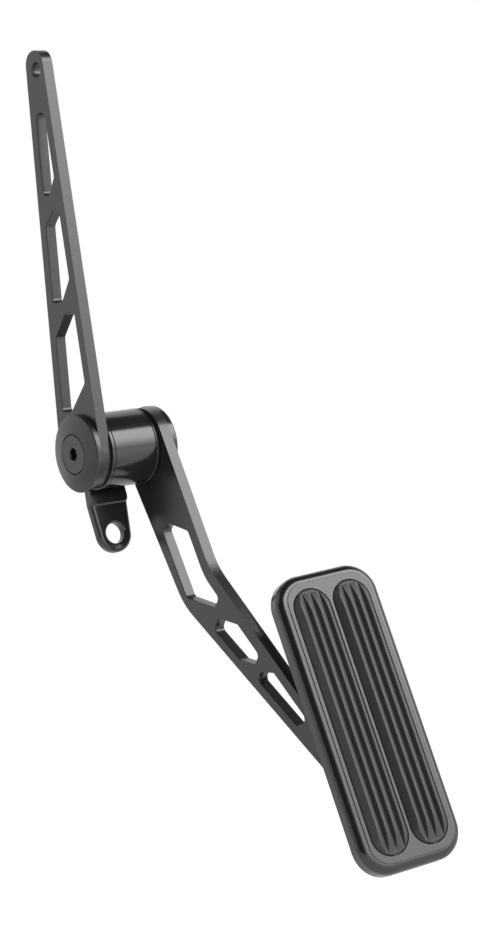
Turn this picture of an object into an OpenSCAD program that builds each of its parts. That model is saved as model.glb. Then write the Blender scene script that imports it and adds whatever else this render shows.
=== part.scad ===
// Accelerator pedal for a throttle cable: two flat machined arms on a pivot barrel, with a pad.
// Millimetres. +X runs along the pivot to the pad's side, +Y points into the firewall, +Z is up.
// The origin lies on the barrel's flat rear face, behind the pivot and midway along the barrel.

/* [Pivot housing] */
// Length of the barrel along the pivot
barrel_len = 20.3; // [16:0.1:40]
// Outer diameter of the barrel
barrel_d = 31.2; // [29:0.1:36]
// Distance from the pivot's axis to the flat rear face
rear_y = 16; // [15.8:0.1:20]
// Diameter of the bore through the barrel
housing_bore_d = 22; // [21.6:0.1:23]
// Drop from the pivot's axis to the fixing hole in the ear
ear_drop = 33; // [30:0.5:45]
// Radius of the ear's round end
ear_r = 8; // [7:0.1:9.5]
// Thickness of the ear
ear_t = 3.6; // [3:0.1:5]
// Extra thickness of the web between the ear and the barrel
web_step = 0.6; // [0.3:0.1:1.5]
// Drop from the pivot's axis to the lower end of the web
web_drop = 20.5; // [19:0.5:23]
// Diameter of the ear's fixing hole
ear_hole_d = 8.8; // [6:0.1:10]
// Chamfer round the mouth of the ear's fixing hole
ear_hole_chamfer = 0.7; // [0.3:0.1:1.2]
// Height of the flat rear boss above the pivot's axis
rear_boss_top = 13; // [11:0.5:14]
// Height of the tapped hole in the rear boss
rear_tap_z = 8.5; // [7:0.5:9]
// Diameter of the tapped hole in the rear boss
rear_tap_d = 5; // [4:0.1:5.5]
// Depth of the tapped hole in the rear boss
rear_tap_depth = 6.5; // [5:0.1:7]

/* [Pivot] */
// Diameter of the shaft where it runs in the bushings
shaft_d = 16; // [15.6:0.1:16.4]
// Width across the flats of the shaft's hexagonal ends
hex_af = 13.5; // [12:0.1:13.5]
// Length of each bushing
bush_len = 5; // [4:0.1:5.5]
// Radial running clearance between shaft and bushing
run_gap = 0.05; // [0.02:0.01:0.08]
// Thickness of the thrust washers beside the barrel
thrust_t = 1.6; // [1:0.1:3]
// Play along the pivot on each side
side_play = 0.08; // [0.05:0.01:0.15]
// Wire diameter of the return spring
spring_wire = 1.6; // [1.2:0.1:1.8]
// Number of turns of the return spring
spring_turns = 3; // [2:1:3]
// Diameter of the travel stop pin
stop_pin_d = 3; // [2:0.1:3.2]
// Travel of the pedal in degrees
travel = 18; // [10:1:25]

/* [Arms] */
// Thickness of both arms
arm_t = 4.76; // [4:0.01:8]
// Radius of the arms' round hub ends
arm_hub_r = 15.1; // [14:0.1:15.8]
// Distance from the pivot to the cable hole
cable_reach = 156; // [140:1:180]
// Lean of the upper arm towards the driver in degrees
upper_lean = 9.6; // [0:0.1:20]
// Radius of the upper arm's tip
upper_tip_r = 6.5; // [5.5:0.1:8]
// Shift of the upper arm's middle line towards the firewall
upper_shift = 1; // [0:0.1:1.5]
// Diameter of the cable hole
cable_hole_d = 6; // [3:0.1:7]
// Border left round the upper arm's windows
upper_border = 4.5; // [3:0.1:6]
// Lean of the lower arm's first stretch towards the driver in degrees
lower_lean = 14.5; // [5:0.5:20]
// Shift of the lower arm's middle line towards the driver
lower_shift = 2.5; // [0:0.1:3]
// Length of the lower arm's first stretch
lower_len = 65; // [55:1:80]
// Width of the lower arm at its bend
bend_w = 24.8; // [20:0.1:28]
// Width of the foot where the lower arm meets the pad
foot_w = 27; // [20:0.5:30]
// Border left on the firewall side of the lower arm's windows
lower_border_rear = 4; // [3:0.1:5.5]
// Border left on the driver's side of the lower arm's windows
lower_border_front = 5.5; // [4:0.1:6]
// Corner radius of the windows
window_r = 2; // [1:0.1:2.6]
// Thickness of the foot plate behind the pad
foot_t = 4.76; // [4:0.01:7]

/* [Pad] */
// Width of the pad
pad_w = 45; // [42:0.1:56]
// Length of the pad
pad_len = 119.6; // [112:0.1:140]
// Height of the pad's straight side wall
pad_wall = 4.2; // [4:0.1:8]
// Radius of the pad's rounded front edge
pad_edge_r = 3.5; // [2:0.1:3.6]
// Corner radius of the pad's outline
pad_corner_r = 12; // [10:0.1:15]
// Step up from the rounded edge to the plateau
pad_step = 0.4; // [0.2:0.1:1]
// Margin round the plateau
pad_margin = 3.8; // [3.7:0.1:5]
// Tilt of the pad's long side from upright in degrees
pad_tilt = 9.8; // [0:0.2:20]
// Turn of the pad's face towards the upper arm's side in degrees
pad_turn = 10; // [0:0.5:12]
// Distance of the pad's front from the pivot towards the driver
pad_reach = 86.6; // [80:0.1:100]
// Drop of the pad's middle below the pivot
pad_drop = 126.9; // [120:0.1:140]
// Distance of the pad's middle from the barrel's middle along the pivot
pad_side = 30.75; // [27:0.25:40]
// Distance of the foot's middle below the pad's middle
foot_drop = 4; // [0:0.2:20]

/* [Rubber inserts] */
// Width of each pocket for a rubber insert
pocket_w = 16.6; // [14:0.1:17]
// Length of each pocket
pocket_len = 107; // [90:0.5:108]
// Depth of the pockets below the plateau
pocket_depth = 2.4; // [1.5:0.1:3]
// Web of metal between the two pockets
pocket_web = 1.2; // [1:0.1:3]
// Gap between an insert and its pocket's wall
insert_gap = 0.35; // [0.1:0.05:0.5]
// Height of the ribs above the plateau
rib_h = 3; // [2.5:0.1:4]
// Number of ribs on each insert
rib_count = 4; // [2:1:5]
// Distance from rib to rib
rib_pitch = 3.65; // [3:0.05:4]
// Width of each rib's flat crest
crest_w = 1; // [0.5:0.1:1.5]
// Depth of the grooves between the ribs
groove_depth = 2.1; // [1:0.1:2.4]
// Length over which each insert's ends slope down to the plateau
end_slope = 11; // [6:0.5:14]

/* [Caps and screws] */
// Diameter of the end caps
cap_d = 31.75; // [30:0.05:36]
// Thickness of the left cap at its rim
left_cap_t = 2.6; // [2:0.1:6]
// Thickness of the right cap at its rim
right_cap_t = 3.85; // [2:0.05:6]
// Rise of the caps' domed faces above the rim
cap_rise = 2.2; // [1:0.1:3]
// Diameter of the hub screws' flat heads
hub_head_d = 16.7; // [14:0.1:18]
// Diameter of the hub screws' shanks
hub_screw_d = 7.9; // [6:0.1:8.5]
// Reach of the hub screws into the shaft
hub_screw_grip = 9; // [6:0.5:10]
// Width across the flats of the hub screws' hexagonal sockets
hub_socket_af = 4.76; // [4:0.01:6]
// Diameter of the pad screws' shanks
pad_screw_d = 5; // [4:0.1:6]
// Distance between the two pad screws
pad_screw_pitch = 18; // [14:0.5:20]
// Reach of the pad screws into the pad
pad_screw_grip = 4.6; // [3:0.1:5]

/* [Hidden] */
$fn = 64;
eps = 0.01;

// Stations along the pivot, counted from the barrel's middle
barrel_end = barrel_len / 2;
arm_in = barrel_end + thrust_t + side_play;
arm_out = arm_in + arm_t;
chamber_end = barrel_end - bush_len;

// Colours
anodised = [0.13, 0.13, 0.14];
anodised_light = [0.2, 0.2, 0.21];
rubber_black = [0.06, 0.06, 0.06];
steel = [0.55, 0.55, 0.57];
bronze = [0.66, 0.5, 0.28];
acetal = [0.1, 0.1, 0.1];

// Puts what is drawn about the pivot where the pivot is
module at_pivot() {
    translate([0, -rear_y, 0]) children();
}

// Stands an outline drawn in (Y, Z) up as a plate from x0 to x0 + t
module side_plate(x0, t) {
    translate([x0, 0, 0]) rotate([90, 0, 90]) linear_extrude(t) children();
}

// A round bar along X from x0 to x1
module x_bar(x0, x1, d) {
    translate([x0, 0, 0]) rotate([0, 90, 0]) cylinder(d = d, h = x1 - x0);
}

function unit(v) = v / norm(v);

function turned(a) = a > 180 ? a - 360 : a < -180 ? a + 360 : a;

// Points of the arc of radius r that rounds the corner b between a and c
function corner_arc(a, b, c, r, steps) =
    let (
        to_a = unit(a - b),
        to_c = unit(c - b),
        half = acos(to_a * to_c) / 2,
        mid = b + unit(to_a + to_c) * r / sin(half),
        from_a = b + to_a * r / tan(half) - mid,
        from_c = b + to_c * r / tan(half) - mid,
        start = atan2(from_a.y, from_a.x),
        sweep = turned(atan2(from_c.y, from_c.x) - start)
    )
    [for (i = [0:steps]) mid + r * [cos(start + sweep * i / steps), sin(start + sweep * i / steps)]];

// An outline whose corners [x, y, radius] are rounded
function rounded(corners, steps = 6) =
    let (n = len(corners))
    [for (i = [0:n - 1])
        let (
            a = corners[(i + n - 1) % n],
            b = corners[i],
            c = corners[(i + 1) % n]
        )
        each corner_arc([a.x, a.y], [b.x, b.y], [c.x, c.y], b.z, steps)];

// A rectangle about the origin with true round corners
module rounded_rect(w, h, r) {
    square([w - 2 * r, h], center = true);
    square([w, h - 2 * r], center = true);
    for (x = [-1, 1], y = [-1, 1])
        translate([x * (w / 2 - r), y * (h / 2 - r)]) circle(r);
}

// A slot with round ends, its length along Y
module obround(w, h) {
    square([w, h - w], center = true);
    for (y = [-1, 1])
        translate([0, y * (h - w) / 2]) circle(d = w);
}

// The pad's own frame: x across the pad, y up along it, z out of its back face to the driver
pad_t = pad_wall + pad_edge_r + pad_step;
pad_up = [sin(pad_tilt), cos(pad_tilt)];
pad_out = [-cos(pad_tilt), sin(pad_tilt)];
pad_back_x = pad_side + pad_t * sin(pad_turn);
pad_back = [-pad_reach, -pad_drop] - pad_out * pad_t * cos(pad_turn);

module at_pad() {
    translate([pad_back_x, pad_back.x, pad_back.y])
        rotate([90 - pad_tilt, 0, 0]) rotate([0, -pad_turn, 0]) children();
}

// Housing: barrel, flat rear boss and the ear with its fixing hole

ear_front = rear_y - ear_t;
web_front = ear_front - web_step;
neck_half = 9.1;
neck_top_half = 8.6;
neck_top_z = 3 - barrel_d / 2;

module ear_outline() {
    circle_z = -ear_drop;
    translate([0, circle_z]) circle(ear_r);
    polygon([
        [-ear_r, circle_z], [ear_r, circle_z], [neck_half, -web_drop], [neck_top_half, neck_top_z],
        [barrel_end, neck_top_z], [barrel_end, rear_boss_top], [-barrel_end, rear_boss_top],
        [-barrel_end, neck_top_z], [-neck_top_half, neck_top_z], [-neck_half, -web_drop]
    ]);
}

// Side outline of the boss behind the barrel, the web below it and the ear
module ear_side() {
    inside_r = barrel_d / 2 - 1;
    polygon([
        [0, 0], [web_front, -sqrt(pow(inside_r, 2) - pow(web_front, 2))],
        [web_front, web_step / 2 - web_drop], [ear_front, -web_step / 2 - web_drop],
        [ear_front, -ear_drop - ear_r], [rear_y, -ear_drop - ear_r],
        [rear_y, rear_boss_top], [sqrt(pow(inside_r, 2) - pow(rear_boss_top, 2)), rear_boss_top]
    ]);
}

module housing() {
    color(anodised) at_pivot() difference() {
        union() {
            x_bar(-barrel_end, barrel_end, barrel_d);
            intersection() {
                side_plate(-barrel_end, barrel_len) ear_side();
                rotate([90, 0, 0]) translate([0, 0, -rear_y - eps])
                    linear_extrude(rear_y + barrel_d) ear_outline();
            }
        }
        x_bar(-barrel_end - eps, barrel_end + eps, housing_bore_d);
        translate([0, rear_y + eps, -ear_drop]) rotate([90, 0, 0])
            cylinder(d = ear_hole_d, h = ear_t + 2 * eps);
        translate([0, ear_front + ear_hole_chamfer, -ear_drop]) rotate([90, 0, 0])
            cylinder(d1 = ear_hole_d, d2 = ear_hole_d + 4 * ear_hole_chamfer, h = 2 * ear_hole_chamfer);
        translate([0, rear_y + eps, rear_tap_z]) rotate([90, 0, 0])
            cylinder(d = rear_tap_d, h = rear_tap_depth + eps);
        translate([stop_pin_x, rear_y + eps, 0]) rotate([90, 0, 0]) cylinder(d = stop_pin_d, h = rear_y);
        translate([spring_leg_x, 0, 0])
            spring_hole(housing_bore_d / 2 - 1, spring_hook_out + hook_spare, spring_out_angle);
    }
}

// Bushings and thrust washers

module bushing_ring() {
    difference() {
        cylinder(d = housing_bore_d, h = bush_len);
        translate([0, 0, -eps]) cylinder(d = shaft_d + 2 * run_gap, h = bush_len + 2 * eps);
    }
}

module bushing_left() {
    color(bronze) at_pivot() translate([-barrel_end, 0, 0]) rotate([0, 90, 0]) bushing_ring();
}

module bushing_right() {
    color(bronze) at_pivot() translate([chamber_end, 0, 0]) rotate([0, 90, 0]) bushing_ring();
}

thrust_bore_spare = 1;

module thrust_ring() {
    difference() {
        cylinder(d = barrel_d, h = thrust_t);
        translate([0, 0, -eps]) cylinder(d = shaft_d + thrust_bore_spare, h = thrust_t + 2 * eps);
    }
}

module thrust_washer_left() {
    color(acetal) at_pivot() translate([-barrel_end - thrust_t, 0, 0]) rotate([0, 90, 0]) thrust_ring();
}

module thrust_washer_right() {
    color(acetal) at_pivot() translate([barrel_end, 0, 0]) rotate([0, 90, 0]) thrust_ring();
}

// Travel stop: a pin in the housing that stands in a slot of the shaft

slot_depth = 2.5;
slot_floor_r = shaft_d / 2 - slot_depth;
slot_side_gap = 0.2;
slot_spare_angle = 0.8;
pin_sink = 0.5;
stop_pin_x = chamber_end - stop_pin_d / 2 - 0.3;
stop_pin_tip = slot_floor_r + 0.2;
pin_half_angle = asin(stop_pin_d / 2 / stop_pin_tip);

module stop_pin() {
    color(steel) at_pivot() translate([stop_pin_x, stop_pin_tip, 0]) rotate([-90, 0, 0])
        cylinder(d = stop_pin_d, h = rear_y - pin_sink - stop_pin_tip);
}

module stop_slot() {
    from = -pin_half_angle - slot_spare_angle - travel;
    sweep = 2 * (pin_half_angle + slot_spare_angle) + travel;
    slot_w = stop_pin_d + 2 * slot_side_gap;
    translate([stop_pin_x, 0, 0]) rotate([from, 0, 0]) rotate([90, 0, 90])
        rotate_extrude(angle = sweep)
            translate([slot_floor_r, -slot_w / 2]) square([slot_depth + 1, slot_w]);
}

// Return spring: a torsion coil with one hook in the shaft and one in the housing

spring_r = (shaft_d + housing_bore_d) / 4;
spring_coil_gap = 0.12;
spring_end_gap = 0.2;
spring_pitch = spring_wire + spring_coil_gap;
spring_leg_x = spring_end_gap + spring_wire / 2 - chamber_end;
hook_spare = 0.4;
spring_hook_in = 6.2;
spring_hook_out = housing_bore_d / 2 + 1.6;
spring_out_angle = 90;
spring_rings = 18;
spring_sides = 8;

function on_x_circle(x, r, a) = [x, r * cos(a), r * sin(a)];

// The wire's middle line: out from the housing, round the shaft, then in to the shaft
spring_path = concat(
    [on_x_circle(spring_leg_x, spring_hook_out, spring_out_angle)],
    [for (i = [0:spring_rings * spring_turns])
        let (turns = i / spring_rings)
        on_x_circle(spring_leg_x + spring_pitch * turns, spring_r, spring_out_angle + 360 * turns)],
    [on_x_circle(spring_leg_x + spring_pitch * spring_turns, spring_hook_in, spring_out_angle)]
);

function path_dir(p, i) = unit(p[min(i + 1, len(p) - 1)] - p[max(i - 1, 0)]);

// One ring of points round the wire at step i of the path
function wire_ring(p, i, d, sides) =
    let (
        along = path_dir(p, i),
        side = unit(cross(along, [1, 0, 0])),
        up = cross(side, along)
    )
    [for (k = [0:sides - 1]) p[i] + d / 2 * (side * cos(360 * k / sides) + up * sin(360 * k / sides))];

module wire(p, d, sides) {
    n = len(p);
    rings = [for (i = [0:n - 1]) each wire_ring(p, i, d, sides)];
    walls = [for (i = [0:n - 2], k = [0:sides - 1])
        let (a = i * sides + k, b = i * sides + (k + 1) % sides)
        each [[a, b, b + sides], [a, b + sides, a + sides]]];
    first = [[for (k = [0:sides - 1]) sides - 1 - k]];
    last = [[for (k = [0:sides - 1]) (n - 1) * sides + k]];
    polyhedron(rings, concat(walls, first, last));
}

module spring_hole(r0, r1, angle) {
    rotate([angle, 0, 0]) translate([0, r0, 0]) rotate([-90, 0, 0])
        cylinder(d = spring_wire + hook_spare, h = r1 - r0);
}

module return_spring() {
    color(steel) at_pivot() wire(spring_path, spring_wire, spring_sides);
}

// Shaft: journal, hexagonal ends, tapped ends, stop slot and spring hole

module hex_bar(x0, x1, af) {
    translate([x0, 0, 0]) rotate([0, 90, 0]) cylinder(d = af / cos(30), h = x1 - x0, $fn = 6);
}

hex_short = 0.2;
hub_tap_spare = 1;

module shaft() {
    color(steel) at_pivot() difference() {
        union() {
            x_bar(-arm_in, arm_in, shaft_d);
            hex_bar(hex_short - arm_out, arm_out - hex_short, hex_af);
        }
        for (side = [-1, 1])
            mirror([side < 0 ? 1 : 0, 0, 0])
                x_bar(arm_out - hub_screw_grip - hub_tap_spare, arm_out, hub_screw_d);
        stop_slot();
        translate([spring_leg_x + spring_pitch * spring_turns, 0, 0])
            spring_hole(spring_hook_in - hook_spare, shaft_d / 2 + 1, spring_out_angle);
    }
}

// Upper arm, drawn upright and then leaned: x towards the firewall, y along the arm

tip_share = 0.98;
join_r = 0.5;

// For each window: its start and end along the arm, the slants of both, and its low corner's offset
upper_windows = [[17.3, 57, 10.9, 9, 2.9], [62, 99, 8.5, 5.5, 0.4], [105.5, 138.6, 6.5, 0, 0.4]];

function upper_half(y) = arm_hub_r - (arm_hub_r - upper_tip_r) * y / cable_reach;
function upper_front(y) = upper_shift - upper_half(y) + upper_border;
function upper_rear(y) = upper_shift + upper_half(y) - upper_border;

// A window between two heights, with slanted ends that leave a zigzag of struts
module upper_window(y0, y1, slant_low, slant_high, corner_low) {
    polygon(rounded([
        [upper_rear(y0), y0, window_r],
        [upper_shift + corner_low, y0, window_r],
        [upper_front(y0 + slant_low), y0 + slant_low, window_r],
        [upper_front(y1), y1, window_r],
        each slant_high > 0 ? [[upper_shift - 1, y1, window_r]] : [],
        [upper_rear(y1 - slant_high), y1 - slant_high, window_r]
    ]));
}

module upper_outline() {
    top = cable_reach + 1.4 + upper_tip_r;
    difference() {
        union() {
            translate([upper_shift, 0]) circle(arm_hub_r, $fn = 96);
            polygon(rounded([
                [upper_shift + upper_half(0), 0, join_r],
                [upper_shift + upper_half(top), top, tip_share * upper_half(top)],
                [upper_shift - upper_half(top), top, tip_share * upper_half(top)],
                [upper_shift - upper_half(0), 0, join_r]
            ]));
        }
        for (w = upper_windows) upper_window(w[0], w[1], w[2], w[3], w[4]);
    }
}

module upper_arm() {
    color(anodised) at_pivot() difference() {
        side_plate(-arm_out, arm_t) rotate(upper_lean) upper_outline();
        hex_bar(-arm_out - eps, -arm_in + eps, hex_af);
        rotate([upper_lean, 0, 0]) translate([0, 0, cable_reach])
            x_bar(-arm_out - eps, -arm_in + eps, cable_hole_d);
    }
}

// Lower arm: a first stretch down from the hub, a bend, then a tapering stretch to the pad's back

lower_hub = [-lower_shift, 0];
lower_along = [-sin(lower_lean), -cos(lower_lean)];
lower_rear = [cos(lower_lean), -sin(lower_lean)];
bend = lower_hub + lower_along * lower_len;
foot_sink = (pad_back_x - arm_in) * tan(pad_turn);
foot = pad_back - pad_up * foot_drop - pad_out * foot_sink;
foot_low = foot - pad_up * foot_w / 2;
foot_high = foot + pad_up * foot_w / 2;
tail_len = norm(foot - bend);
tail_along = (foot - bend) / tail_len;
tail_rear = [-tail_along.y, tail_along.x];
tail_lean = atan2(-tail_along.x, -tail_along.y);
bend_rear = unit(lower_rear + tail_rear);
bend_reach = bend_w / 2 / cos((tail_lean - lower_lean) / 2);
bend_r = 30;
foot_corner_r = 5;
foot_spare = 2;
foot_joint = 1.5;
pad_screw_spare = 0.5;
window_middle = 1.3;

// The window at the bend: its start, rear end and front start from the hub, and its end from the bend
bend_window_start = 35.4;
bend_window_rear_end = 65.9;
bend_window_front_start = 43.5;
bend_window_end = 13.5;
bend_window_turn_r = 25;

// For each window beyond the bend: its start, rear end, end, front start and front border
tail_windows = [[17.8, 37, 44.9, 28.3, 5.5], [49.5, 77.8, 79.4, 55.6, 4.4]];

// A point u along and v towards the firewall from the hub or from the bend
function on_lower(u, v) = lower_hub + lower_along * u + lower_rear * v;
function on_tail(u, v) = bend + tail_along * u + tail_rear * v;
function with_r(p, r) = [p.x, p.y, r];

function lower_half(u) = arm_hub_r - (arm_hub_r - bend_w / 2) * u / lower_len;

// Offset of a tail window's edge: side is 1 towards the firewall and -1 towards the driver
function tail_edge(side, u, border) =
    let (
        corner = bend + bend_rear * bend_reach * side,
        end = side > 0 ? foot_low : foot_high,
        along = unit(end - corner),
        start = on_tail(u, 0) - corner
    )
    (along * start) * (along * tail_rear) + (corner - bend) * tail_rear - side * border;

// The window that follows the bend, its blunt ends cut slanting towards the driver
module bend_window() {
    start = bend_window_start;
    rear_end = bend_window_rear_end;
    front_start = bend_window_front_start;
    end = bend_window_end;
    polygon(rounded([
        with_r(on_lower(start, lower_half(start) - lower_border_rear - 1.4), window_r),
        with_r(on_lower(rear_end, lower_half(rear_end) - lower_border_rear + 0.4), window_r),
        with_r(on_tail(end, -0.8), window_r),
        with_r(on_tail(end, tail_edge(-1, end, lower_border_front)), window_r),
        with_r(bend - bend_rear * (bend_reach - lower_border_front), bend_window_turn_r),
        with_r(on_lower(front_start, lower_border_front - lower_half(front_start)), window_r),
        with_r(on_lower(start, 2.2), window_r)
    ]));
}

module tail_window(start, rear_end, end, front_start, border) {
    polygon(rounded([
        with_r(on_tail(start, tail_edge(1, start, lower_border_rear)), window_r),
        with_r(on_tail(rear_end, tail_edge(1, rear_end, lower_border_rear)), window_r),
        with_r(on_tail(end, window_middle), window_r),
        with_r(on_tail(end, tail_edge(-1, end, border)), window_r),
        with_r(on_tail(front_start, tail_edge(-1, front_start, border)), window_r),
        with_r(on_tail(start, window_middle), window_r)
    ]));
}

module lower_outline() {
    difference() {
        union() {
            translate(lower_hub) circle(arm_hub_r, $fn = 96);
            polygon(rounded([
                with_r(on_lower(0, lower_half(0)), join_r),
                with_r(bend + bend_rear * bend_reach, bend_r),
                with_r(foot_low + tail_along * foot_spare, join_r),
                with_r(foot_high + tail_along * foot_spare, join_r),
                with_r(bend - bend_rear * bend_reach, bend_r),
                with_r(on_lower(0, -lower_half(0)), join_r)
            ]));
        }
        bend_window();
        for (w = tail_windows) tail_window(w[0], w[1], w[2], w[3], w[4]);
    }
}

// The foot lies against the pad's back and carries its two screws
module foot_plate() {
    end = (pad_screw_pitch + foot_w) / 2 - foot_corner_r;
    start = (arm_out - foot_joint - pad_back_x) / cos(pad_turn);
    translate([0, -foot_drop, -foot_t]) linear_extrude(foot_t + foot_spare) polygon(rounded([
        [start, -foot_w / 2, join_r], [end, -foot_w / 2, foot_corner_r],
        [end, foot_w / 2, foot_corner_r], [start, foot_w / 2, join_r]
    ]));
}

// What lies in front of the pad's back face, where the foot stops
module past_pad_back() {
    at_pad() translate([-pad_w, -pad_len, 0]) cube([2 * pad_w, 2 * pad_len, pad_w]);
}

module lower_arm() {
    color(anodised) at_pivot() difference() {
        union() {
            side_plate(arm_in, arm_t) lower_outline();
            at_pad() foot_plate();
        }
        past_pad_back();
        hex_bar(arm_in - eps, arm_out + eps, hex_af);
        at_pad() for (x = [-1, 1])
            translate([x * pad_screw_pitch / 2, -foot_drop, -foot_t - eps])
                cylinder(d = pad_screw_d + pad_screw_spare, h = foot_t + 1);
    }
}

// Caps: a straight rim, a domed face and a countersink for the flat head

head_angle_h = (hub_head_d - hub_screw_d) / 2;
cap_bore_spare = 0.3;
hub_socket_depth = 3;

module cap_body(rim) {
    dome_r = (pow(cap_d / 2, 2) + pow(cap_rise, 2)) / (2 * cap_rise);
    difference() {
        intersection() {
            cylinder(d = cap_d, h = rim + cap_rise);
            translate([0, 0, rim + cap_rise - dome_r]) sphere(dome_r, $fn = 128);
        }
        translate([0, 0, -eps]) cylinder(d = hub_screw_d + cap_bore_spare, h = rim + cap_rise);
        translate([0, 0, head_seat(rim)]) cylinder(d1 = hub_screw_d, d2 = hub_head_d, h = head_angle_h);
        translate([0, 0, head_seat(rim) + head_angle_h - eps]) cylinder(d = hub_head_d, h = cap_rise + 1);
    }
}

// The heads sit with their flat tops level with the dome round them
head_top = cap_rise * (1 - pow(hub_head_d / cap_d, 2));

function head_seat(rim) = rim + head_top - head_angle_h;

module cap_screw_body(rim) {
    seat = head_seat(rim);
    difference() {
        union() {
            translate([0, 0, seat]) cylinder(d1 = hub_screw_d, d2 = hub_head_d, h = head_angle_h);
            translate([0, 0, -hub_screw_grip]) cylinder(d = hub_screw_d, h = seat + hub_screw_grip + eps);
        }
        translate([0, 0, seat + head_angle_h - hub_socket_depth])
            cylinder(d = hub_socket_af / cos(30), h = hub_socket_depth + 1, $fn = 6);
    }
}

module on_left_end() {
    at_pivot() translate([-arm_out, 0, 0]) rotate([0, -90, 0]) children();
}

module on_right_end() {
    at_pivot() translate([arm_out, 0, 0]) rotate([0, 90, 0]) children();
}

module left_cap() {
    color(anodised) on_left_end() cap_body(left_cap_t);
}

module right_cap() {
    color(anodised) on_right_end() cap_body(right_cap_t);
}

module left_cap_screw() {
    color(anodised_light) on_left_end() cap_screw_body(left_cap_t);
}

module right_cap_screw() {
    color(anodised_light) on_right_end() cap_screw_body(right_cap_t);
}

// Pad: a thick plate with a rounded front edge, a raised plateau and two pockets

pocket_x = (pocket_w + pocket_web) / 2;
pocket_floor = pad_t - pocket_depth;
pad_tap_spare = 0.3;

module pad_blank() {
    corner_x = pad_w / 2 - pad_corner_r;
    corner_y = pad_len / 2 - pad_corner_r;
    ring_r = pad_corner_r - pad_edge_r;
    linear_extrude(pad_wall) rounded_rect(pad_w, pad_len, pad_corner_r);
    linear_extrude(pad_wall + pad_edge_r)
        rounded_rect(pad_w - 2 * pad_edge_r, pad_len - 2 * pad_edge_r, ring_r);
    for (x = [-1, 1])
        translate([x * (pad_w / 2 - pad_edge_r), corner_y, pad_wall]) rotate([90, 0, 0])
            cylinder(r = pad_edge_r, h = 2 * corner_y);
    for (y = [-1, 1])
        translate([-corner_x, y * (pad_len / 2 - pad_edge_r), pad_wall]) rotate([0, 90, 0])
            cylinder(r = pad_edge_r, h = 2 * corner_x);
    for (x = [-1, 1], y = [-1, 1])
        translate([x * corner_x, y * corner_y, pad_wall]) rotate_extrude()
            translate([ring_r, 0]) circle(pad_edge_r);
    linear_extrude(pad_t)
        rounded_rect(pad_w - 2 * pad_margin, pad_len - 2 * pad_margin, pad_corner_r - pad_margin);
}

module pad() {
    color(anodised) at_pivot() at_pad() difference() {
        pad_blank();
        for (x = [-1, 1])
            translate([x * pocket_x, 0, pocket_floor]) linear_extrude(pocket_depth + 1)
                obround(pocket_w, pocket_len);
        for (x = [-1, 1])
            translate([x * pad_screw_pitch / 2, -foot_drop, -eps])
                cylinder(d = pad_screw_d, h = pad_screw_grip + pad_tap_spare);
    }
}

// Rubber inserts: sloping flanks all round, with grooves that run out at the round ends

insert_w = pocket_w - 2 * insert_gap;
insert_len = pocket_len - 2 * insert_gap;
insert_flank = (insert_w - (rib_count - 1) * rib_pitch - crest_w) / 2;
end_lip = 0.2;
groove_floor_half = 0.5;

// The ribbed top with straight ends, its flanks sloping in all round
module insert_top() {
    straight = insert_len - insert_w;
    top_w = insert_w - 2 * insert_flank;
    rotate([90, 0, 0]) translate([0, 0, -straight / 2]) linear_extrude(straight)
        polygon([[-insert_w / 2, 0], [insert_w / 2, 0], [top_w / 2, rib_h], [-top_w / 2, rib_h]]);
    for (y = [-1, 1])
        translate([0, y * straight / 2, 0]) cylinder(d1 = insert_w, d2 = top_w, h = rib_h);
}

// Side outline of the top: flat along the middle, with an arc down to the plateau at each end
module insert_side() {
    fall = rib_h - end_lip;
    r = (pow(end_slope, 2) + pow(fall, 2)) / (2 * fall);
    sweep = asin(end_slope / r);
    mid = insert_len / 2 - end_slope;
    steps = 6;
    past_end = insert_len / 2 + 1;
    polygon(concat(
        [[-past_end, -1], [past_end, -1], [past_end, end_lip]],
        [for (i = [0:steps])
            let (a = sweep * (1 - i / steps))
            [mid + r * sin(a), rib_h - r * (1 - cos(a))]],
        [for (i = [0:steps])
            let (a = sweep * i / steps)
            [-mid - r * sin(a), rib_h - r * (1 - cos(a))]],
        [[-past_end, end_lip]]
    ));
}

module insert_body() {
    linear_extrude(pocket_depth) obround(insert_w, insert_len);
    translate([0, 0, pocket_depth]) intersection() {
        insert_top();
        side_plate(-insert_w, 2 * insert_w) insert_side();
    }
}

module groove() {
    half = (rib_pitch - crest_w) / 2;
    spare = 0.5;
    slope = (half - groove_floor_half) / groove_depth;
    rotate([90, 0, 0]) translate([0, 0, -insert_len / 2]) linear_extrude(insert_len)
        polygon([
            [-groove_floor_half, -groove_depth], [groove_floor_half, -groove_depth],
            [half + slope * spare, spare], [-half - slope * spare, spare]
        ]);
}

module rubber_insert(side) {
    color(rubber_black) at_pivot() at_pad() translate([side * pocket_x, 0, pocket_floor]) difference() {
        insert_body();
        for (i = [1:rib_count - 1])
            translate([(i - rib_count / 2) * rib_pitch, 0, pocket_depth + rib_h]) groove();
    }
}

module left_insert() {
    rubber_insert(-1);
}

module right_insert() {
    rubber_insert(1);
}

// Pad screws and washers, put in from behind the foot

washer_t = 1;
washer_d = 10;
pad_head_d = 8.5;
pad_head_h = 5;
pad_socket_af = 4;
pad_socket_depth = 2.5;
washer_bore_spare = 0.3;

module at_pad_screw(side) {
    at_pivot() at_pad() translate([side * pad_screw_pitch / 2, -foot_drop, -foot_t]) children();
}

module pad_screw(side) {
    color(steel) at_pad_screw(side) difference() {
        union() {
            translate([0, 0, -washer_t - pad_head_h]) cylinder(d = pad_head_d, h = pad_head_h);
            translate([0, 0, -washer_t - eps])
                cylinder(d = pad_screw_d, h = washer_t + foot_t + pad_screw_grip + eps);
        }
        translate([0, 0, -washer_t - pad_head_h - eps])
            cylinder(d = pad_socket_af / cos(30), h = pad_socket_depth, $fn = 6);
    }
}

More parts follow.
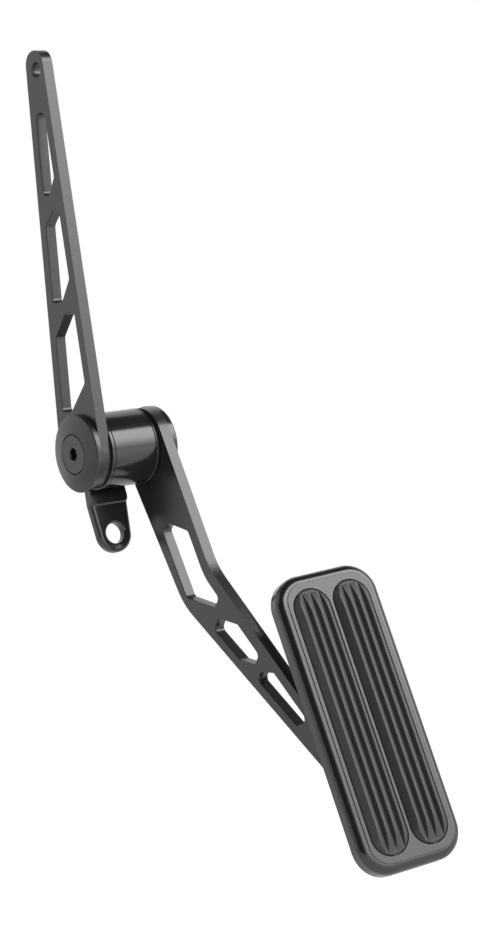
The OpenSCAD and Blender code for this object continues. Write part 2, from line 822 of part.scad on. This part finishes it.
module pad_washer(side) {
    color(steel) at_pad_screw(side) translate([0, 0, -washer_t]) difference() {
        cylinder(d = washer_d, h = washer_t);
        translate([0, 0, -eps]) cylinder(d = pad_screw_d + washer_bore_spare, h = washer_t + 2 * eps);
    }
}

module pad_screw_left() {
    pad_screw(-1);
}

module pad_screw_right() {
    pad_screw(1);
}

module pad_washer_left() {
    pad_washer(-1);
}

module pad_washer_right() {
    pad_washer(1);
}

housing();
bushing_left();
bushing_right();
thrust_washer_left();
thrust_washer_right();
stop_pin();
return_spring();
shaft();
upper_arm();
lower_arm();
left_cap();
right_cap();
left_cap_screw();
right_cap_screw();
pad();
left_insert();
right_insert();
pad_screw_left();
pad_screw_right();
pad_washer_left();
pad_washer_right();
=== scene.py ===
import math

import bmesh
import bpy
from mathutils import Matrix, Vector
from mathutils.bvhtree import BVHTree


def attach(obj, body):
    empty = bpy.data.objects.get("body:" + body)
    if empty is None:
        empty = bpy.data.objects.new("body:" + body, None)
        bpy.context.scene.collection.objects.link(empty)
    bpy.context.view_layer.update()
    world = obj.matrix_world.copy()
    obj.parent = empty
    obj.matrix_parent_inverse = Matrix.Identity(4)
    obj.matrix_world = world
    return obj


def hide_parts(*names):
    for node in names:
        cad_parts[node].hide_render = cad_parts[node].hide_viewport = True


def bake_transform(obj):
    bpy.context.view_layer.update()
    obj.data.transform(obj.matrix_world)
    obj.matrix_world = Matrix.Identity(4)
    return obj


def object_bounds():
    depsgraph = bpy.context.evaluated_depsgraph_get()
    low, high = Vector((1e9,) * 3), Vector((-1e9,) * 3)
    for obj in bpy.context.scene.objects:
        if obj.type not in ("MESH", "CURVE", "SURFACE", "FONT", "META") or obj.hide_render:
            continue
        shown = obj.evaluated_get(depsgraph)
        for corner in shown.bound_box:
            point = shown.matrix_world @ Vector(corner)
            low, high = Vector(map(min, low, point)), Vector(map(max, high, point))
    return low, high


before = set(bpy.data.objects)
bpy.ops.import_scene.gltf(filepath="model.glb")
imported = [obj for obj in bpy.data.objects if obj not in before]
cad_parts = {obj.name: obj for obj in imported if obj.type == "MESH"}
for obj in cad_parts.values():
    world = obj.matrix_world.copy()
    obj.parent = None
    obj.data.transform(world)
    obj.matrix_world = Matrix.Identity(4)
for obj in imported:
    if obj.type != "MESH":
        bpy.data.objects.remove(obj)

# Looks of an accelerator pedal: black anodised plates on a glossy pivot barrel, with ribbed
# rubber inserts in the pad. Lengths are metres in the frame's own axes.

MM = 0.001
cad_low, cad_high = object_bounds()

HOUSING_BODY = "mount_housing"
LEVER_BODY = "pedal_lever"

# Places on the CAD model
PIVOT_Y = -16 * MM
EAR_FRONT = -3.6 * MM
EAR_WEB_RISE = 0.6 * MM
EAR_R = 8 * MM
EAR_HOLE_Z = -33 * MM
EAR_RIM_TOP = -15 * MM
BARREL_END = 10.15 * MM
BARREL_RIM_BACK = -2 * MM
BARREL_RIM_R = 12 * MM
CAP_RIM_R = 15.5 * MM
PLACE_SLACK = 0.1 * MM

# How steep an edge has to be, in degrees
SQUARE_EDGE_DEG = 60
CAP_EDGE_DEG = 45
BROKEN_EDGE_DEG = 28
FLAT_EDGE_DEG = 0.5

# How the edges are rounded
MERGE_DISTANCE = 0.001 * MM
RIM_SEGMENTS = 4
HOUSING_EDGE = 0.3 * MM
EAR_RIM_EDGE = 1.4 * MM
BARREL_RIM_EDGE = 0.4 * MM
ARM_EDGE = 0.15 * MM
WINDOW_EDGE = 0.4 * MM
CAP_RIM_EDGE = 0.5 * MM
CAP_SCREW_EDGE = 0.5 * MM
THRUST_WASHER_EDGE = 0.4 * MM
PLAIN_EDGE = 0.2 * MM

# The ray that looks for the wall across a window
PROBE_DEPTH = 0.5 * MM
PROBE_START = 0.05 * MM
PROBE_REACH = 40 * MM
WALL_NORMAL_X = 0.1

# Finishes, with noise scales per metre
COATING_IOR = 1.6
CLOUD_SCALE = 60
PLATE_CLOUD_SCALE = 45
BLAST_SCALE = 5200
BLAST_DEPTH = 0.0012 * MM
TOOL_MARK_SCALE = 1500
TOOL_MARK_STRETCH = (0.12, 1, 1)
TOOL_MARK_DEPTHS = 26.0
PLATE_FACE_NORMAL_X = 0.8
LATHE_SCALE = 3500
LATHE_DEPTH = 0.0004 * MM
EVEN = (1, 1, 1)

# Camera
CAMERA_PLACE = Vector((-0.5044, -0.7612, -0.1025))
CAMERA_RIGHT = Vector((0.79, -0.574, -0.214))
CAMERA_BACK = Vector((-0.602, -0.793, -0.095))
CAMERA_LENS = 85.53
SENSOR_WIDTH = 36
NEAREST = 0.01
FARTHEST = 50

# Floor
FLOOR_DROP = 60 * MM
FLOOR_SIZE = 12.0
FLOOR_TONE = 0.8
FLOOR_ROUGHNESS = 0.9


def make_camera():
    back = CAMERA_BACK.normalized()
    right = (CAMERA_RIGHT - back * CAMERA_RIGHT.dot(back)).normalized()
    up = back.cross(right)
    data = bpy.data.cameras.new("camera")
    data.lens = CAMERA_LENS
    data.sensor_width = SENSOR_WIDTH
    data.clip_start = NEAREST
    data.clip_end = FARTHEST
    camera = bpy.data.objects.new("camera", data)
    turn = Matrix((right, up, back)).transposed().to_4x4()
    camera.matrix_world = Matrix.Translation(CAMERA_PLACE) @ turn
    bpy.context.scene.collection.objects.link(camera)
    bpy.context.scene.camera = camera


# Node helpers

def new_material(name):
    material = bpy.data.materials.new(name)
    material.use_nodes = True
    nodes = material.node_tree.nodes
    shader = nodes["Principled BSDF"]
    return material, nodes, material.node_tree.links, shader


def add_node(nodes, kind, **settings):
    node = nodes.new(kind)
    for key, value in settings.items():
        setattr(node, key, value)
    return node


def object_coordinates(nodes, links, scale):
    """Object coordinates stretched by scale, so that marks can run along one axis."""
    place = add_node(nodes, "ShaderNodeTexCoord")
    mapping = add_node(nodes, "ShaderNodeMapping")
    mapping.inputs["Scale"].default_value = scale
    links.new(place.outputs["Object"], mapping.inputs["Vector"])
    return mapping.outputs["Vector"]


def noise(nodes, links, vector, scale, detail=3.0):
    texture = add_node(nodes, "ShaderNodeTexNoise")
    texture.inputs["Scale"].default_value = scale
    texture.inputs["Detail"].default_value = detail
    links.new(vector, texture.inputs["Vector"])
    return texture.outputs["Fac"]


def ranged(nodes, links, value, low, high):
    """The value, 0 to 1, spread from low to high."""
    spread = add_node(nodes, "ShaderNodeMapRange")
    spread.inputs["To Min"].default_value = low
    spread.inputs["To Max"].default_value = high
    links.new(value, spread.inputs["Value"])
    return spread.outputs["Result"]


def tinted(nodes, links, value, dark, light):
    mix = add_node(nodes, "ShaderNodeMix", data_type="RGBA")
    mix.inputs["A"].default_value = (*dark, 1)
    mix.inputs["B"].default_value = (*light, 1)
    links.new(value, mix.inputs["Factor"])
    return mix.outputs["Result"]


def bumped(nodes, links, height, distance, shader):
    bump = add_node(nodes, "ShaderNodeBump")
    bump.inputs["Distance"].default_value = distance
    bump.inputs["Strength"].default_value = 1.0
    links.new(height, bump.inputs["Height"])
    links.new(bump.outputs["Normal"], shader.inputs["Normal"])


def add_math(nodes, links, operation, first, second=None):
    """One math node; an input is a socket or a number."""
    node = add_node(nodes, "ShaderNodeMath", operation=operation)
    for index, value in enumerate((first, second)):
        if value is None:
            continue
        if isinstance(value, (int, float)):
            node.inputs[index].default_value = value
        else:
            links.new(value, node.inputs[index])
    return node.outputs[0]


def squared(nodes, links, value):
    size = add_math(nodes, links, "ABSOLUTE", value)
    return add_math(nodes, links, "POWER", size, 2.0)


def seen_directly(nodes, links, path):
    """1 for what the camera sees, also through a clear piece, and 0 in reflections and lighting."""
    straight = path.outputs["Is Camera Ray"]
    through = path.outputs["Is Transmission Ray"]
    return add_math(nodes, links, "MAXIMUM", straight, through)


# Finishes

def surface(name, dark, light, rough, grain_scale, grain_depth,
            stretch=EVEN, ior=COATING_IOR, metallic=0.0):
    """A finish whose colour and gloss wander a little, with a fine grain along an axis."""
    material, nodes, links, shader = new_material(name)
    shader.inputs["IOR"].default_value = ior
    shader.inputs["Metallic"].default_value = metallic
    broad = noise(nodes, links, object_coordinates(nodes, links, EVEN), CLOUD_SCALE)
    fine = noise(nodes, links, object_coordinates(nodes, links, stretch), grain_scale)
    links.new(tinted(nodes, links, broad, dark, light), shader.inputs["Base Color"])
    links.new(ranged(nodes, links, fine, *rough), shader.inputs["Roughness"])
    bumped(nodes, links, fine, grain_depth, shader)
    return material


def plate_finish(name, dark, light, rough):
    """Black anodising: fine blasted faces square to X, and tool marks across the milled edges."""
    material, nodes, links, shader = new_material(name)
    shader.inputs["IOR"].default_value = COATING_IOR
    broad = noise(nodes, links, object_coordinates(nodes, links, EVEN), PLATE_CLOUD_SCALE)
    blasted = noise(nodes, links, object_coordinates(nodes, links, EVEN), BLAST_SCALE, detail=2.0)
    stretched = object_coordinates(nodes, links, TOOL_MARK_STRETCH)
    marks = noise(nodes, links, stretched, TOOL_MARK_SCALE, detail=4.0)
    place = add_node(nodes, "ShaderNodeTexCoord")
    split = add_node(nodes, "ShaderNodeSeparateXYZ")
    links.new(place.outputs["Normal"], split.inputs[0])
    facing = add_math(nodes, links, "ABSOLUTE", split.outputs["X"])
    is_face = add_math(nodes, links, "GREATER_THAN", facing, PLATE_FACE_NORMAL_X)
    height = add_node(nodes, "ShaderNodeMix", data_type="FLOAT")
    links.new(is_face, height.inputs["Factor"])
    links.new(add_math(nodes, links, "MULTIPLY", marks, TOOL_MARK_DEPTHS), height.inputs["A"])
    links.new(blasted, height.inputs["B"])
    links.new(tinted(nodes, links, broad, dark, light), shader.inputs["Base Color"])
    links.new(ranged(nodes, links, broad, *rough), shader.inputs["Roughness"])
    bumped(nodes, links, height.outputs["Result"], BLAST_DEPTH, shader)
    return material


def turned_finish(name, dark, light, rough):
    """Glossy black anodising with fine lathe rings about the pivot."""
    material, nodes, links, shader = new_material(name)
    shader.inputs["IOR"].default_value = COATING_IOR
    place = add_node(nodes, "ShaderNodeTexCoord")
    split = add_node(nodes, "ShaderNodeSeparateXYZ")
    links.new(place.outputs["Object"], split.inputs[0])
    from_pivot = add_math(nodes, links, "SUBTRACT", split.outputs["Y"], PIVOT_Y)
    depth_squared = squared(nodes, links, from_pivot)
    height_squared = squared(nodes, links, split.outputs["Z"])
    sum_of_squares = add_math(nodes, links, "ADD", depth_squared, height_squared)
    radius = add_math(nodes, links, "SQRT", sum_of_squares)
    rings = add_node(nodes, "ShaderNodeCombineXYZ")
    links.new(split.outputs["X"], rings.inputs["X"])
    links.new(radius, rings.inputs["Y"])
    lathe = noise(nodes, links, rings.outputs[0], LATHE_SCALE, detail=2.0)
    broad = noise(nodes, links, object_coordinates(nodes, links, EVEN), CLOUD_SCALE)
    links.new(tinted(nodes, links, broad, dark, light), shader.inputs["Base Color"])
    links.new(ranged(nodes, links, broad, *rough), shader.inputs["Roughness"])
    bumped(nodes, links, lathe, LATHE_DEPTH, shader)
    return material


def make_materials():
    """Each look by name, from its dark and light tint and its range of roughness."""
    return {
        "plate": plate_finish("black_anodised_plate", (0.008, 0.008, 0.0085), (0.011, 0.011, 0.0115),
                              (0.28, 0.33)),
        "turned": turned_finish("black_anodised_turned", (0.006, 0.006, 0.0065), (0.009, 0.009, 0.0095),
                                (0.15, 0.2)),
        "rubber": surface("black_rubber", (0.029, 0.029, 0.029), (0.037, 0.037, 0.037),
                          (0.45, 0.55), 2400, 0.008 * MM, ior=1.45),
        "screw": surface("black_oxide", (0.008, 0.008, 0.0085), (0.011, 0.011, 0.0115),
                         (0.2, 0.3), 1500, 0.001 * MM),
        "steel": surface("ground_steel", (0.5, 0.5, 0.52), (0.6, 0.6, 0.62),
                         (0.25, 0.35), 900, 0.001 * MM, (8, 1, 1), metallic=1.0),
        "bronze": surface("sintered_bronze", (0.42, 0.28, 0.14), (0.55, 0.38, 0.2),
                          (0.35, 0.5), 1800, 0.004 * MM, metallic=1.0),
    }


# Pieces

def paint(piece, material):
    piece.data.materials.clear()
    piece.data.materials.append(material)


def steeper(edge, least_deg):
    """True where the faces on both sides of an edge turn by more than this."""
    return edge.calc_face_angle(0) > math.radians(least_deg)


# A rule for a rim takes an edge and the solid's ray tree, which only opening_rim needs.

def ear_rim(edge, tree):
    """True for the edges all round the ear's front face, also beside its thicker web."""
    ends = [vertex.co for vertex in edge.verts]
    web_front = EAR_FRONT - EAR_WEB_RISE
    in_front = all(web_front - PLACE_SLACK < end.y < EAR_FRONT + PLACE_SLACK for end in ends)
    below_barrel = all(end.z < EAR_RIM_TOP for end in ends)
    outside = all(math.hypot(end.x, end.z - EAR_HOLE_Z) > EAR_R - PLACE_SLACK for end in ends)
    return in_front and below_barrel and outside and steeper(edge, SQUARE_EDGE_DEG)


def barrel_rim(edge, tree):
    """True for the two round edges at the barrel's ends."""
    ends = [vertex.co for vertex in edge.verts]
    at_end = all(abs(abs(end.x) - BARREL_END) < PLACE_SLACK for end in ends)
    outside = all(math.hypot(end.y - PIVOT_Y, end.z) > BARREL_RIM_R for end in ends)
    in_front = all(end.y < BARREL_RIM_BACK for end in ends)
    return at_end and outside and in_front and steeper(edge, SQUARE_EDGE_DEG)


def cap_rim(edge, tree):
    """True for a cap's outer round edges."""
    outside = all(math.hypot(end.co.y - PIVOT_Y, end.co.z) > CAP_RIM_R for end in edge.verts)
    return outside and steeper(edge, CAP_EDGE_DEG)


def opening_rim(edge, tree):
    """True for a plate's edges round its windows and holes, whose walls face another wall."""
    if not steeper(edge, SQUARE_EDGE_DEG):
        return False
    walls = [face for face in edge.link_faces if abs(face.normal.x) < WALL_NORMAL_X]
    if len(walls) != 1 or len(edge.link_faces) != 2:
        return False
    wall = walls[0]
    middle = (edge.verts[0].co + edge.verts[1].co) / 2
    outward = middle.x - wall.calc_center_median().x
    inside = Vector((-math.copysign(PROBE_DEPTH, outward), 0, 0))
    start = middle + inside + wall.normal * PROBE_START
    place_hit = tree.ray_cast(start, wall.normal, PROBE_REACH)[0]
    return place_hit is not None


def rounded_mesh(node, rims):
    """A copy of a node's mesh with its flat faces joined up and the named rims rounded."""
    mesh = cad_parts[node].data.copy()
    solid = bmesh.new()
    solid.from_mesh(mesh)
    bmesh.ops.remove_doubles(solid, verts=solid.verts, dist=MERGE_DISTANCE)
    flat = math.radians(FLAT_EDGE_DEG)
    bmesh.ops.dissolve_limit(solid, angle_limit=flat, verts=solid.verts, edges=solid.edges)
    for is_rim, width in rims:
        tree = BVHTree.FromBMesh(solid)
        rim = [edge for edge in solid.edges if is_rim(edge, tree)]
        bmesh.ops.bevel(solid, geom=rim, offset=width, offset_type="OFFSET", segments=RIM_SEGMENTS,
                        profile=0.5, affect="EDGES", clamp_overlap=False)
    solid.to_mesh(mesh)
    solid.free()
    mesh.name = node + "_machined"
    return mesh


def machined(node, body, material, width, segments=2, rims=(), clamp=True):
    """A copy of a CAD node with its sharp edges broken, shown in the node's place."""
    mesh = rounded_mesh(node, rims)
    piece = bpy.data.objects.new(node + "_machined", mesh)
    bpy.context.scene.collection.objects.link(piece)
    for polygon in mesh.polygons:
        polygon.use_smooth = True
    edge = piece.modifiers.new("broken_edges", "BEVEL")
    edge.width = width
    edge.segments = segments
    edge.limit_method = "ANGLE"
    edge.angle_limit = math.radians(BROKEN_EDGE_DEG)
    edge.use_clamp_overlap = clamp
    edge.miter_outer = "MITER_ARC"
    weight = piece.modifiers.new("flat_faces", "WEIGHTED_NORMAL")
    weight.keep_sharp = True
    paint(piece, material)
    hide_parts(node)
    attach(piece, body)


def twisting_spring(material):
    """The return spring's coil, a smooth copy of the CAD node between its hooks in the housing and in
    the shaft.
    """
    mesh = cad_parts["return_spring"].data.copy()
    spring = bpy.data.objects.new("return_spring_coil", mesh)
    bpy.context.scene.collection.objects.link(spring)
    for polygon in mesh.polygons:
        polygon.use_smooth = True
    paint(spring, material)
    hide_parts("return_spring")
    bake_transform(spring)


def dress_pieces(looks):
    housing_rims = ((ear_rim, EAR_RIM_EDGE), (barrel_rim, BARREL_RIM_EDGE))
    arm_rims = ((opening_rim, WINDOW_EDGE),)
    cap_rims = ((cap_rim, CAP_RIM_EDGE),)
    machined("housing", HOUSING_BODY, looks["turned"], HOUSING_EDGE, rims=housing_rims)
    for arm in ("upper_arm", "lower_arm"):
        machined(arm, LEVER_BODY, looks["plate"], ARM_EDGE, rims=arm_rims)
    machined("left_cap", LEVER_BODY, looks["plate"], PLAIN_EDGE, rims=cap_rims)
    machined("right_cap", LEVER_BODY, looks["turned"], PLAIN_EDGE, rims=cap_rims)
    machined("pad", LEVER_BODY, looks["turned"], PLAIN_EDGE)
    for washer in ("thrust_washer_left", "thrust_washer_right"):
        machined(washer, HOUSING_BODY, looks["turned"], THRUST_WASHER_EDGE, segments=3, clamp=False)
    for screw in ("left_cap_screw", "right_cap_screw"):
        machined(screw, LEVER_BODY, looks["screw"], CAP_SCREW_EDGE, segments=3, clamp=False)
    for side in ("left", "right"):
        machined(side + "_insert", LEVER_BODY, looks["rubber"], PLAIN_EDGE)
        machined("pad_screw_" + side, LEVER_BODY, looks["screw"], PLAIN_EDGE)
        paint(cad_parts["bushing_" + side], looks["bronze"])
        paint(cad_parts["pad_washer_" + side], looks["steel"])
    twisting_spring(looks["steel"])
    for node in ("shaft", "stop_pin"):
        paint(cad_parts[node], looks["steel"])


# Stage

def dark_zone(nodes, links, direction, inner_deg, outer_deg, level):
    """The level inside a round patch of sky, and 1 outside it, with a soft border."""
    place = add_node(nodes, "ShaderNodeTexCoord")
    along = add_node(nodes, "ShaderNodeVectorMath", operation="DOT_PRODUCT")
    links.new(place.outputs["Generated"], along.inputs[0])
    along.inputs[1].default_value = Vector(direction).normalized()
    shade = add_node(nodes, "ShaderNodeMapRange", interpolation_type="SMOOTHSTEP")
    shade.inputs["From Min"].default_value = math.cos(math.radians(outer_deg))
    shade.inputs["From Max"].default_value = math.cos(math.radians(inner_deg))
    shade.inputs["To Min"].default_value = 1.0
    shade.inputs["To Max"].default_value = level
    links.new(along.outputs["Value"], shade.inputs["Value"])
    return shade.outputs["Result"]


def make_world(ambient, zones):
    """White where it is seen directly, a soft fill, and a studio with dark zones in reflections."""
    world = bpy.data.worlds.new("studio")
    bpy.context.scene.world = world
    world.use_nodes = True
    nodes = world.node_tree.nodes
    links = world.node_tree.links
    nodes.clear()
    shades = [dark_zone(nodes, links, *zone) for zone in zones]
    studio = add_math(nodes, links, "MULTIPLY", *shades)
    path = add_node(nodes, "ShaderNodeLightPath")
    mirrored = add_node(nodes, "ShaderNodeMix", data_type="FLOAT")
    mirrored.inputs["A"].default_value = ambient
    links.new(path.outputs["Is Glossy Ray"], mirrored.inputs["Factor"])
    links.new(studio, mirrored.inputs["B"])
    level = add_node(nodes, "ShaderNodeMix", data_type="FLOAT")
    level.inputs["B"].default_value = 1.0
    links.new(seen_directly(nodes, links, path), level.inputs["Factor"])
    links.new(mirrored.outputs["Result"], level.inputs["A"])
    light = add_node(nodes, "ShaderNodeBackground")
    light.inputs["Color"].default_value = (1, 1, 1, 1)
    links.new(level.outputs["Result"], light.inputs["Strength"])
    out = add_node(nodes, "ShaderNodeOutputWorld")
    links.new(light.outputs[0], out.inputs["Surface"])


def make_floor(glow, mirrored_glow):
    """A pale floor that shows white and keeps the object's shadow."""
    bpy.ops.mesh.primitive_plane_add(size=FLOOR_SIZE, location=(0, 0, cad_low.z - FLOOR_DROP))
    floor = bpy.context.object
    floor.name = "floor"
    material, nodes, links, shader = new_material("pale_floor")
    shader.inputs["Base Color"].default_value = (FLOOR_TONE, FLOOR_TONE, FLOOR_TONE, 1)
    shader.inputs["Roughness"].default_value = FLOOR_ROUGHNESS
    shader.inputs["Specular IOR Level"].default_value = 0.0
    shader.inputs["Emission Color"].default_value = (1, 1, 1, 1)
    path = add_node(nodes, "ShaderNodeLightPath")
    direct = add_math(nodes, links, "MULTIPLY", seen_directly(nodes, links, path), glow)
    mirrored = add_math(nodes, links, "MULTIPLY", path.outputs["Is Glossy Ray"], mirrored_glow)
    lift = add_math(nodes, links, "MAXIMUM", direct, mirrored)
    links.new(lift, shader.inputs["Emission Strength"])
    floor.data.materials.append(material)


def fade_across(nodes, links, coordinate, far, reach):
    """From far at the lamp's edge up to 1 at reach, as a share of its width."""
    fade = add_node(nodes, "ShaderNodeMapRange", interpolation_type="SMOOTHSTEP")
    fade.inputs["From Max"].default_value = reach
    fade.inputs["To Min"].default_value = far
    links.new(coordinate, fade.inputs["Value"])
    return fade.outputs["Result"]


def make_softbox(name, direction, distance, width, height, power, side_fade, low_fade):
    """An area lamp that faces the middle of the object and dims towards two of its edges."""
    middle = (cad_low + cad_high) / 2
    data = bpy.data.lights.new(name, "AREA")
    data.shape = "RECTANGLE"
    data.size = width
    data.size_y = height
    data.energy = power
    data.use_nodes = True
    nodes = data.node_tree.nodes
    links = data.node_tree.links
    place = add_node(nodes, "ShaderNodeNewGeometry")
    split = add_node(nodes, "ShaderNodeSeparateXYZ")
    links.new(place.outputs["Parametric"], split.inputs[0])
    across = fade_across(nodes, links, split.outputs["X"], *side_fade)
    upward = fade_across(nodes, links, split.outputs["Y"], *low_fade)
    links.new(add_math(nodes, links, "MULTIPLY", across, upward), nodes["Emission"].inputs["Strength"])
    lamp = bpy.data.objects.new(name, data)
    ahead = Vector(direction).normalized()
    lamp.location = middle + ahead * distance
    lamp.rotation_mode = "QUATERNION"
    lamp.rotation_quaternion = (-ahead).to_track_quat("-Z", "Y")
    lamp.visible_camera = False
    bpy.context.scene.collection.objects.link(lamp)


def make_stage():
    """Each dark zone is its direction, inner and outer angle, and level."""
    room_behind_camera = ((-0.90, -0.33, 0.24), 29, 37, 0.05)
    ceiling_in_front = ((0.0, -0.46, 0.89), 47, 55, 0.05)
    make_world(ambient=0.5, zones=(room_behind_camera, ceiling_in_front))
    make_floor(glow=0.7, mirrored_glow=0.25)
    make_softbox("front_softbox", direction=(0.20, -0.90, 0.30), distance=1.4, width=2.3, height=1.3,
                 power=58, side_fade=(0.0, 0.2), low_fade=(0.2, 0.7))


make_camera()
dress_pieces(make_materials())
make_stage()
bpy.context.scene.view_settings.view_transform = "Standard"
